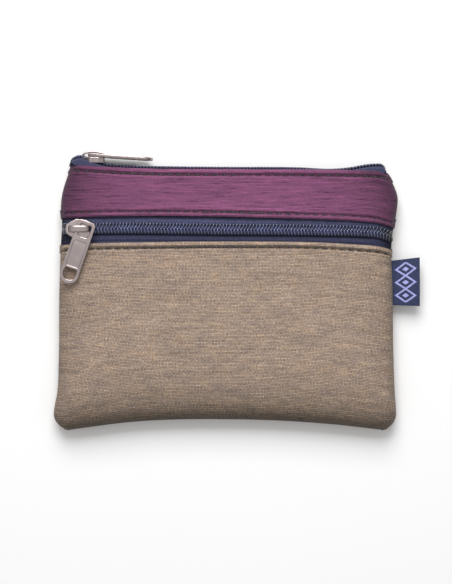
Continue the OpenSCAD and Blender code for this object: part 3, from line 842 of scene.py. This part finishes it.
def slider_parts(name):
    """A slider about its middle, x towards its tail and z out of the chain."""
    wing = [(-4.6, 1.35), (-3.6, 2.3), (-0.9, 3.75), (2.4, 3.55), (4.5, 2.7),
            (4.5, -2.7), (2.4, -3.55), (-0.9, -3.75), (-3.6, -2.3), (-4.6, -1.35)]
    corner = [0.7, 1.4, 1.4, 2.0, 0.6, 0.6, 2.0, 1.4, 1.4, 0.7]
    upper = plate(name + "_wing", [rounded_outline(wing, corner)], 0.15, 0.95, 0.24)
    small = [(x * 0.94, y * 0.84) for x, y in wing]
    lower = plate(name + "_lower", [rounded_outline(small, corner)], -2.8, -2.0, 0.2)
    flange = [(-2.7, 2.55), (-0.9, 3.7), (2.4, 3.5), (4.4, 2.7), (4.4, 2.45), (2.4, 2.75), (-0.9, 2.75)]
    sides = [plate(name + f"_flange{k}", [rounded_outline([(x, k * y) for x, y in flange][::k], 0.2)],
                   -1.15, 0.4, 0.1) for k in (1, -1)]
    nose = rounded_outline([(-4.1, -0.7), (-1.9, -0.55), (-1.9, 0.55), (-4.1, 0.7)], 0.3)
    post = plate(name + "_wedge", [nose], -2.2, 0.4, 0.05)
    arch = [(-4.2, 0.5), (-4.15, 1.5), (-3.5, 2.45), (-2.0, 3.15), (0, 3.42), (2.1, 3.25), (3.8, 2.75),
            (4.5, 1.7), (4.45, 0.5)]
    bridge = strap(name + "_bridge", arch, lambda t: 2.75 - 0.65 * t, 0.72)
    return [upper, lower, *sides, post, bridge]


def pull_parts(name, length):
    """A pull about its eye's end bar, x towards its tip."""
    end = length - 0.55
    arc = [(end - 3.6 + 3.6 * math.cos(a), 3.6 * math.sin(a)) for a in np.linspace(-1.5, 1.5, 28)]
    outer = [(-0.75, 2.5), (-0.75, -2.5), (-0.45, -3.1), (0.3, -3.45)] + arc + [(0.3, 3.45), (-0.45, 3.1)]
    eye = rounded_outline([(0.68, -2.15), (5.5, -2.15), (5.5, 2.15), (0.68, 2.15)], [0.6, 1.7, 1.7, 0.6])
    web = rounded_outline([(7.3, -2.45), (17.0, -2.45), (17.0, 2.45), (7.3, 2.45)], 0.9)
    flat = end - 5.8
    hole = [(end - 4.0 + 2.5 * math.cos(a), 2.5 * math.sin(a)) for a in np.linspace(-1.75, 1.75, 26)]
    hole = [(flat, -2.2)] + hole + [(flat, 2.2)]
    frame_part = plate(name + "_rim", [outer, eye, web, rounded_outline(hole, 0.3, 3)], -0.55, 0.55, 0.26)
    sunk = rounded_outline([(7.0, -2.75), (17.3, -2.75), (17.3, 2.75), (7.0, 2.75)], 0.9)
    return [frame_part, plate(name + "_web", [sunk], -0.22, 0.22, 0.05)]


def placed(name, parts, matrix):
    """Joins a piece's parts and sets them in place, leaving the object itself at the origin."""
    obj = join(name, parts)
    spot = matrix.copy()
    spot.translation = matrix.translation * MM
    obj.data.transform(spot)
    return obj


def basis(x, z, origin):
    x, z = Vector(x).normalized(), Vector(z)
    z = (z - x * z.dot(x)).normalized()
    made = Matrix((x, z.cross(x), z)).transposed().to_4x4()
    made.translation = Vector(origin)
    return made


swivel = Vector(joints["front_pull_swivel"]["pos_m"]) / MM
lift = Vector(joints["top_pull_hinge"]["pos_m"]) / MM
top_way = Vector(joints["top_zip_slide"]["axis"])
lean = math.radians(-109.5)
front_at = basis((1, 0, 0), (0, 0, 1), (FRONT_SLIDER_X, ZIP_Y, COIL_TOP))
pull_at = (Matrix.Translation(swivel) @ Matrix.Rotation(lean, 4, "Z")
           @ Matrix.Rotation(math.radians(2), 4, "Y") @ Matrix.Translation((-1.95, -0.8, 0)))
top_frame = basis(top_way, (0, 1, 0), lift)
top_at = top_frame @ Matrix.Translation((0.9, 0, -1.75))
top_pull_at = top_frame @ Matrix.Rotation(math.radians(2.5), 4, "Y")
PULL_LENGTH = 24.3
front_slider = placed("front_slider_casting", slider_parts("front"), front_at)
front_pull = placed("front_pull_casting", pull_parts("front_pull", PULL_LENGTH), pull_at)
top_slider = placed("top_slider_casting", slider_parts("top"), top_at)
top_pull = placed("top_pull_casting", pull_parts("top_pull", PULL_LENGTH), top_pull_at)
for obj, node in ((front_slider, "front_slider"), (front_pull, "front_pull"), (top_slider, "top_slider"),
                  (top_pull, "top_pull")):
    box = np.array([v.co[:] for v in obj.data.vertices]) / MM
    own = [np.round(np.array(v) / MM, 1).tolist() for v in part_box(node)]
    print(node, "made", box.min(0).round(1).tolist(), box.max(0).round(1).tolist(), "frame", own)

# %% [markdown]
# ## Finishes
# Every cloth here is woven in its shader from the sheet's own flat size, so the threads keep
# their real spacing and follow the cloth round every fold.

# %% Node tools
def rgb(r, g, b):
    """Linear colour from an 8-bit display colour."""
    return tuple(((c / 255 + 0.055) / 1.055) ** 2.4 if c > 10 else c / 3294 for c in (r, g, b)) + (1.0,)


class Finish:
    """One material and short ways to add its nodes."""

    def __init__(self, name, roughness, metallic=0.0, sheen=0.0, coat=0.0, specular=0.5):
        self.material = bpy.data.materials.new(name)
        self.material.use_nodes = True
        self.tree = self.material.node_tree
        self.tree.nodes.clear()
        self.shader = self.add("ShaderNodeBsdfPrincipled")
        out = self.add("ShaderNodeOutputMaterial")
        self.tree.links.new(self.shader.outputs[0], out.inputs["Surface"])
        for socket, value in (("Roughness", roughness), ("Metallic", metallic), ("Sheen Weight", sheen),
                              ("Coat Weight", coat), ("Specular IOR Level", specular)):
            self.shader.inputs[socket].default_value = value

    def add(self, kind, values=None, **settings):
        made = self.tree.nodes.new(kind)
        for key, value in settings.items():
            setattr(made, key, value)
        for key, value in (values or {}).items():
            self.put(made.inputs[key], value)
        return made

    def put(self, socket, value):
        if isinstance(value, bpy.types.NodeSocket):
            self.tree.links.new(value, socket)
        else:
            socket.default_value = value

    def math(self, kind, a, b=0.0, c=0.0):
        return self.add("ShaderNodeMath", {0: a, 1: b, 2: c}, operation=kind).outputs[0]

    def mix(self, share, a, b, kind="MIX"):
        made = self.add("ShaderNodeMix", data_type="RGBA", blend_type=kind)
        for slot, value in ((0, share), (6, a), (7, b)):
            self.put(made.inputs[slot], value)
        return made.outputs[2]

    def noise(self, where, scale, detail=2.0, rough=0.5):
        return self.add("ShaderNodeTexNoise", {"Vector": where, "Scale": scale, "Detail": detail,
                                               "Roughness": rough}).outputs[0]

    def ramp(self, value, *stops):
        made = self.add("ShaderNodeValToRGB", {0: value})
        line = made.color_ramp
        while len(line.elements) < len(stops):
            line.elements.new(0.5)
        for element, (spot, colour) in zip(line.elements, stops):
            element.position = spot
            element.color = colour
        return made.outputs[0]

    def shades(self, value, low, high):
        """Two display colours, blended over the middle of value's range."""
        return self.ramp(value, (0.3, rgb(*low)), (0.7, rgb(*high)))

    def times(self, a, b):
        return self.math("MULTIPLY", a, b)

    def ridges(self, steps):
        """Round ridges, one for every whole step."""
        return self.math("ABSOLUTE", self.math("SINE", self.times(steps, math.pi)))

    def per_thread(self, run, stretch, number, jump, seed=0.0):
        """Place for noise that runs along each thread and differs from thread to thread."""
        return self.add("ShaderNodeCombineXYZ", {0: self.times(run, stretch),
                                                 1: self.times(self.math("FLOOR", number), jump),
                                                 2: seed}).outputs[0]

    def roughen(self, grain, spread, least):
        self.put(self.shader.inputs["Roughness"], self.math("MULTIPLY_ADD", grain, spread, least))

    def scaled(self, where, x, y, z=1.0):
        return self.add("ShaderNodeMapping", {"Vector": where, "Scale": (x, y, z)}).outputs[0]

    def cloth(self):
        """The sheet's flat place in metres, and its two parts."""
        where = self.add("ShaderNodeUVMap", uv_map="cloth").outputs[0]
        parts = self.add("ShaderNodeSeparateXYZ", {0: where})
        return where, parts.outputs[0], parts.outputs[1]

    def place(self):
        return self.add("ShaderNodeTexCoord").outputs["Object"]

    def painted_shade_and_scuffs(self, most):
        """How much painted shade the cloth gets towards its seams, folds and stitch grooves, up to most.
        """
        amount = self.add("ShaderNodeAttribute", attribute_name="painted_shade_and_scuffs").outputs["Fac"]
        return self.math("MULTIPLY", amount, most)

    def bump(self, height, distance, strength=1.0):
        made = self.add("ShaderNodeBump", {"Height": height, "Distance": distance, "Strength": strength})
        self.put(self.shader.inputs["Normal"], made.outputs[0])

    def colour(self, value):
        self.put(self.shader.inputs["Base Color"], value)


def plain_weave(f, u, v, warp, weft):
    """Plain weave with threads warp and weft apart in metres. Gives the over-under mask, the
    height of the threads, and each thread's own place for noise."""
    a, b = f.math("DIVIDE", u, warp), f.math("DIVIDE", v, weft)
    cross = f.times(f.math("SINE", f.times(a, math.pi)), f.math("SINE", f.times(b, math.pi)))
    mask = f.math("GREATER_THAN", cross, 0.0)
    height = f.math("ABSOLUTE", cross)
    warp_id = f.add("ShaderNodeCombineXYZ", {0: f.times(f.math("FLOOR", a), 7.13), 1: f.times(v, 420.0)})
    weft_id = f.per_thread(u, 170.0, b, 5.37, 9.0)
    return mask, height, warp_id.outputs[0], weft_id


# %% [markdown]
# Tan melange: a plain weave of coarse yarns, each yarn spun from fibres of several colours, so
# the cloth is flecked. Larger soft stains of warmer and cooler colour cross it.

# %% Tan cloth
WARP, WEFT = 0.00062, 0.00058


def tan_cloth():
    f = Finish("tan_linen", roughness=0.88, sheen=0.1, specular=0.2)
    where, u, v = f.cloth()
    mask, height, warp_id, weft_id = plain_weave(f, u, v, WARP, WEFT)
    warp = f.ramp(f.noise(warp_id, 1.0, 3.0, 0.65), (0.30, rgb(164, 147, 133)), (0.47, rgb(184, 165, 149)),
                  (0.60, rgb(196, 174, 156)), (0.74, rgb(210, 191, 175)))
    weft = f.ramp(f.noise(weft_id, 1.0, 3.0, 0.65), (0.30, rgb(134, 124, 119)), (0.46, rgb(172, 156, 146)),
                  (0.60, rgb(203, 181, 161)), (0.74, rgb(226, 210, 194)))
    base = f.mix(mask, warp, weft)
    fleck = f.noise(where, 1250.0, 3.0, 0.7)
    base = f.mix(0.8, base, f.ramp(fleck, (0.34, rgb(196, 190, 188)), (0.55, rgb(250, 248, 246)),
                                   (0.72, rgb(255, 255, 255))), "MULTIPLY")
    slub = f.noise(f.per_thread(u, 38.0, f.math("DIVIDE", v, WEFT), 5.37), 1.0, 3.0, 0.7)
    base = f.mix(0.5, base, f.ramp(slub, (0.32, rgb(196, 190, 186)), (0.47, rgb(240, 237, 234)),
                                   (0.62, rgb(255, 255, 255))), "MULTIPLY")
    patch = f.noise(f.scaled(where, 1, 1.3), 150.0, 3.0, 0.6)
    tint = f.ramp(patch, (0.30, rgb(226, 226, 232)), (0.5, rgb(246, 244, 242)), (0.70, rgb(255, 246, 232)))
    base = f.mix(0.6, base, tint, "MULTIPLY")
    # Painted shade in the gaps between the weft rows, a little between the threads too.
    rows = f.ridges(f.math("DIVIDE", v, WEFT))
    groove_shade = f.ramp(f.math("MULTIPLY_ADD", rows, 0.75, f.times(height, 0.25)),
                 (0.0, rgb(122, 114, 110)), (0.68, rgb(255, 255, 255)))
    base = f.mix(0.75, base, groove_shade, "MULTIPLY")
    # Painted shade: darkened towards the seams, the rolled bottom and the stitch groove by the per-point
    # amount.
    f.colour(f.mix(f.painted_shade_and_scuffs(0.88), base, f.mix(1.0, base, rgb(84, 86, 76), "MULTIPLY")))
    f.bump(f.math("MULTIPLY_ADD", fleck, 0.6, height), 0.00016, 0.6)
    return f.material


# %% [markdown]
# Plum rib: fine ribs run across the band, with darker picks at uneven distances.

# %% Plum cloth
RIB = 0.00054


def plum_cloth():
    f = Finish("plum_rib", roughness=0.85, sheen=0.12, specular=0.2)
    where, u, v = f.cloth()
    sway = f.times(f.noise(f.scaled(where, 1, 0.2), 60.0, 1.0), 0.00012)
    rib = f.math("DIVIDE", f.math("ADD", v, sway), RIB)
    height = f.ridges(rib)
    pick = f.per_thread(u, 75.0, rib, 3.71)
    tone = f.ramp(f.noise(pick, 1.0, 5.0, 0.7), (0.30, rgb(92, 50, 79)), (0.45, rgb(129, 79, 112)),
                  (0.60, rgb(147, 88, 126)), (0.74, rgb(168, 104, 143)))
    fleck = f.noise(where, 1500.0, 3.0, 0.7)
    tone = f.mix(0.6, tone, f.shades(fleck, (196, 184, 196), (255, 255, 255)), "MULTIPLY")
    # Painted shade in the grooves between the ribs.
    groove_shade = f.ramp(height, (0.0, rgb(168, 150, 164)), (0.5, rgb(255, 255, 255)))
    tone = f.mix(0.7, tone, groove_shade, "MULTIPLY")
    # Painted shade: darkened towards the band's ends and along its stitch grooves by the per-point amount.
    f.colour(f.mix(f.painted_shade_and_scuffs(0.86), tone, f.mix(1.0, tone, rgb(84, 88, 94), "MULTIPLY")))
    f.bump(f.math("MULTIPLY_ADD", fleck, 0.5, height), 0.00016, 0.6)
    return f.material


# %% [markdown]
# The other soft goods: a thin grey lining, navy tape woven in a close herringbone, thread, and
# a damask label whose pale picks make a plain pattern of nested lozenges.

# %% Lining, tape and thread
def lining_cloth():
    f = Finish("lining", roughness=0.62, sheen=0.05)
    _, u, v = f.cloth()
    _, height, warp_id, _ = plain_weave(f, u, v, 0.00032, 0.00032)
    f.colour(f.shades(f.noise(warp_id, 1.0), (138, 142, 152), (160, 163, 172)))
    f.bump(height, 0.00006, 0.5)
    return f.material


def tape_cloth():
    f = Finish("zip_tape", roughness=0.85, sheen=0.02, specular=0.12)
    where, u, v = f.cloth()
    lane = f.math("PINGPONG", v, 0.0016)
    slant = f.math("DIVIDE", f.math("ADD", u, lane), 0.00075)
    height = f.ridges(slant)
    grain = f.noise(f.scaled(where, 1, 3), 900.0, 2.0, 0.6)
    # Colour follows the twill's ridges: painted highlight on the ridge tops and painted shade in the
    # grooves.
    base = f.mix(f.times(height, 0.8), f.shades(grain, (48, 49, 72), (66, 68, 96)),
                 f.shades(grain, (80, 82, 112), (112, 114, 150)))
    # Painted shadow: near-black by the per-point amount, beside the coil, under the folded cloth edges and
    # at the rolled ends.
    f.colour(f.mix(f.painted_shade_and_scuffs(0.97), base, rgb(6, 7, 10)))
    f.bump(height, 0.00012, 0.6)
    return f.material


def sewing_thread():
    f = Finish("thread", roughness=0.55, sheen=0.1)
    values = {"Vector": f.place(), "Scale": 420.0, "Distortion": 1.5, "Detail": 1.0}
    twist = f.add("ShaderNodeTexWave", values, bands_direction="DIAGONAL").outputs[1]
    # Colour follows the twist: painted shade in the grooves between the plies.
    f.colour(f.ramp(twist, (0.2, rgb(20, 18, 23)), (0.8, rgb(50, 45, 52))))
    f.bump(twist, 0.00008, 0.6)
    return f.material


def coil_thread():
    f = Finish("coil_cord", roughness=0.7)
    grain = f.noise(f.place(), 1500.0, 2.0)
    # The cords and chain thread are real parts, coloured near-black so that they also paint shade into the
    # gaps between the coil's strands.
    f.colour(f.shades(grain, (10, 10, 16), (24, 24, 36)))
    f.bump(grain, 0.00005, 0.5)
    return f.material


# %% Label
MOTIF_MIDDLE = 0.0101
MOTIF_HALF_LENGTH = 0.0026
MOTIF_HALF_WIDTH = 0.0036


def label_cloth():
    """A column of lozenges, each a ring round a core, its length along v."""
    f = Finish("woven_label", roughness=0.6, sheen=0.1, specular=0.35)
    _, u, v = f.cloth()
    across = f.math("ABSOLUTE", f.math("SUBTRACT", v, LABEL_H * MM / 2))
    along = f.math("ABSOLUTE", f.math("SUBTRACT", u, MOTIF_MIDDLE))
    step = f.math("PINGPONG", across, MOTIF_HALF_LENGTH)
    far = f.math("ADD", f.math("DIVIDE", step, MOTIF_HALF_LENGTH),
                 f.math("DIVIDE", along, MOTIF_HALF_WIDTH))
    ring = f.math("LESS_THAN", f.math("ABSOLUTE", f.math("SUBTRACT", far, 1.0)), 0.16)
    core = f.math("LESS_THAN", far, 0.36)
    inside = f.math("LESS_THAN", across, 3 * MOTIF_HALF_LENGTH + 0.0001)
    motif = f.times(f.math("MAXIMUM", ring, core), inside)
    _, height, warp_id, _ = plain_weave(f, u, v, 0.00026, 0.0003)
    grain = f.noise(warp_id, 1.0, 2.0)
    navy = f.shades(grain, (28, 36, 66), (46, 56, 92))
    pale = f.shades(grain, (140, 140, 200), (176, 176, 228))
    f.colour(f.mix(motif, navy, pale))
    f.bump(f.math("MULTIPLY_ADD", motif, 0.8, height), 0.00007, 0.7)
    return f.material


# %% [markdown]
# Coil wire is smooth nylon with a soft shine, a little worn. The castings are
# tumbled and plated in satin nickel: fine handling marks and a warm grey.

# %% Nylon and metal
def nylon():
    f = Finish("nylon_coil", roughness=0.3, specular=0.8, coat=0.6)
    spot = f.place()
    painted_shade_and_scuffs = f.noise(spot, 260.0, 3.0, 0.6)
    base = f.shades(painted_shade_and_scuffs, (50, 54, 84), (76, 82, 122))
    # Painted shade: near-black where the chain's ends dive down into the seam.
    across = f.math("ABSOLUTE", f.add("ShaderNodeSeparateXYZ", {0: spot}).outputs[0])
    end = f.add("ShaderNodeMapRange", {0: across, 1: 0.055, 2: 0.062}).outputs[0]
    f.colour(f.mix(end, base, rgb(10, 14, 18)))
    fine = f.noise(spot, 2600.0, 2.0)
    f.roughen(fine, 0.15, 0.18)
    f.bump(fine, 0.00002, 0.4)
    return f.material


def nickel():
    f = Finish("nickel", roughness=0.25, metallic=1.0)
    spot = f.place()
    marks = f.noise(f.scaled(spot, 1, 4), 900.0, 4.0, 0.65)
    cloud = f.noise(spot, 130.0, 2.0)
    f.colour(f.shades(cloud, (160, 147, 147), (184, 172, 170)))
    f.roughen(marks, 0.2, 0.14)
    f.bump(marks, 0.00003, 0.35)
    return f.material


finishes = {"tan_linen": tan_cloth(), "plum_rib": plum_cloth(), "lining": lining_cloth(),
            "zip_tape": tape_cloth(), "thread": sewing_thread(), "coil_cord": coil_thread(),
            "woven_label": label_cloth(), "nylon_coil": nylon(), "nickel": nickel()}

# %% [markdown]
# ## Fitting the pieces to the frame
# Each piece stands in for its plain part of the frame and rides on the same body.

# %% Ride and replace
pieces = {
    "front_panel": (front_panel, "tan_linen"), "front_band": (front_band, "plum_rib"),
    "back_panel": (back_panel, "tan_linen"), "front_panel_lining": (panel_lining, "lining"),
    "pocket_backing": (backing, "lining"), "lining_front": (lining_front, "lining"),
    "lining_back": (lining_back, "lining"), "front_tape_upper": (tape_upper, "zip_tape"),
    "front_tape_lower": (tape_lower, "zip_tape"), "top_tape_front": (top_tape_front, "zip_tape"),
    "top_tape_back": (top_tape_back, "zip_tape"),
    "front_coil_upper": (chains["front", "upper"], "nylon_coil"),
    "front_coil_lower": (chains["front", "lower"], "nylon_coil"),
    "top_coil_front": (chains["top", "front"], "nylon_coil"),
    "top_coil_back": (chains["top", "back"], "nylon_coil"),
    "front_coil_cords": (chains["front", "cords"], "coil_cord"),
    "top_coil_cords": (chains["top", "cords"], "coil_cord"),
    "front_chain_thread": (chains["front", "thread"], "coil_cord"),
    "top_chain_thread": (chains["top", "thread"], "coil_cord"),
    "band_top_stitching": (band_top_thread, "thread"),
    "band_bottom_stitching": (band_bottom_thread, "thread"),
    "panel_stitching": (panel_thread, "thread"), "back_stitching": (back_thread, "thread"),
    "seam_thread": (seam_thread, "thread"), "side_label": (label, "woven_label"),
    "front_slider": (front_slider, "nickel"), "front_pull": (front_pull, "nickel"),
    "top_slider": (top_slider, "nickel"), "top_pull": (top_pull, "nickel"),
}
MOVING = ("front_slider", "front_pull", "top_slider", "top_pull")
for node, (obj, finish) in pieces.items():
    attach(obj, node if node in MOVING else "pouch")
    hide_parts(node)
    obj.data.materials.clear()
    obj.data.materials.append(finishes[finish])
print(len(pieces), "pieces fitted")

# %% Cloth sizes
sheets = [
    (front_panel, panel_flat, "stretched"), (front_band, band_flat, "stretched"),
    (back_panel, back_flat, "laid"), (panel_lining, panel_lining_flat, "stretched"),
    (backing, backing_flat, "stretched"), (lining_front, lining_front_flat, "stretched"),
    (lining_back, lining_back_flat, "stretched"), (tape_upper, tape_flat, "stretched"),
    (tape_lower, tape_flat, "stretched"), (top_tape_front, top_tape_flat, "stretched"),
    (top_tape_back, top_tape_flat, "stretched"), (label, label_flat, "folded"),
]
for obj, flat, held in sheets:
    area = sum(p.area for p in obj.data.polygons) / 2
    share = round(area / flat[0] / flat[1], 3)
    print(obj.name, [round(v / MM, 1) for v in flat], "mm flat, drawn area over flat area", share)

# %% [markdown]
# ## Table, light and camera
# A white table under a big soft window of light from the upper left, seen from straight above.

# %% Stage
bm = bmesh.new()
bmesh.ops.create_grid(bm, x_segments=1, y_segments=1, size=1.5)
table = to_object("table", bm)
white = Finish("table_white", roughness=0.9, specular=0.1)
cloud = white.noise(white.place(), 3.0)
white.colour(white.ramp(cloud, (0.3, (0.84, 0.84, 0.84, 1)), (0.7, (0.86, 0.86, 0.86, 1))))
table.data.materials.append(white.material)


def lamp(name, place, aim, width, power, colour=(1, 1, 1)):
    data = bpy.data.lights.new(name, "AREA")
    data.shape = "SQUARE"
    data.size = width
    data.energy = power
    data.color = colour
    obj = show(bpy.data.objects.new(name, data))
    obj.location = place
    obj.rotation_euler = (Vector(aim) - Vector(place)).to_track_quat("-Z", "Y").to_euler()
    return obj


key = lamp("key", (-0.06, 0.72, 0.7), (0, 0, 0), 0.65, 11.0)
world = bpy.data.worlds.new("room")
world.use_nodes = True
sky = world.node_tree.nodes
height = sky.new("ShaderNodeSeparateXYZ")
soft = sky.new("ShaderNodeMapRange")
world.node_tree.links.new(sky.new("ShaderNodeTexCoord").outputs["Generated"], height.inputs[0])
world.node_tree.links.new(height.outputs[2], soft.inputs[0])
for slot, value in ((1, 0.1), (2, 0.95), (3, 0.10), (4, 0.80)):
    soft.inputs[slot].default_value = value
world.node_tree.links.new(soft.outputs[0], sky["Background"].inputs[1])
sky["Background"].inputs[0].default_value = (1, 1, 1, 1)
scene = bpy.context.scene
scene.world = world
scene.view_settings.view_transform = "Standard"
scene.view_settings.look = "None"
camera_data = bpy.data.cameras.new("camera")
camera = show(bpy.data.objects.new("camera", camera_data))
camera_data.sensor_fit = "VERTICAL"
camera_data.sensor_height = 24.0
distance = 0.7
camera_data.lens = 24.0 * distance / 0.219
camera.location = (0, 0, FACE * MM + distance)
scene.camera = camera
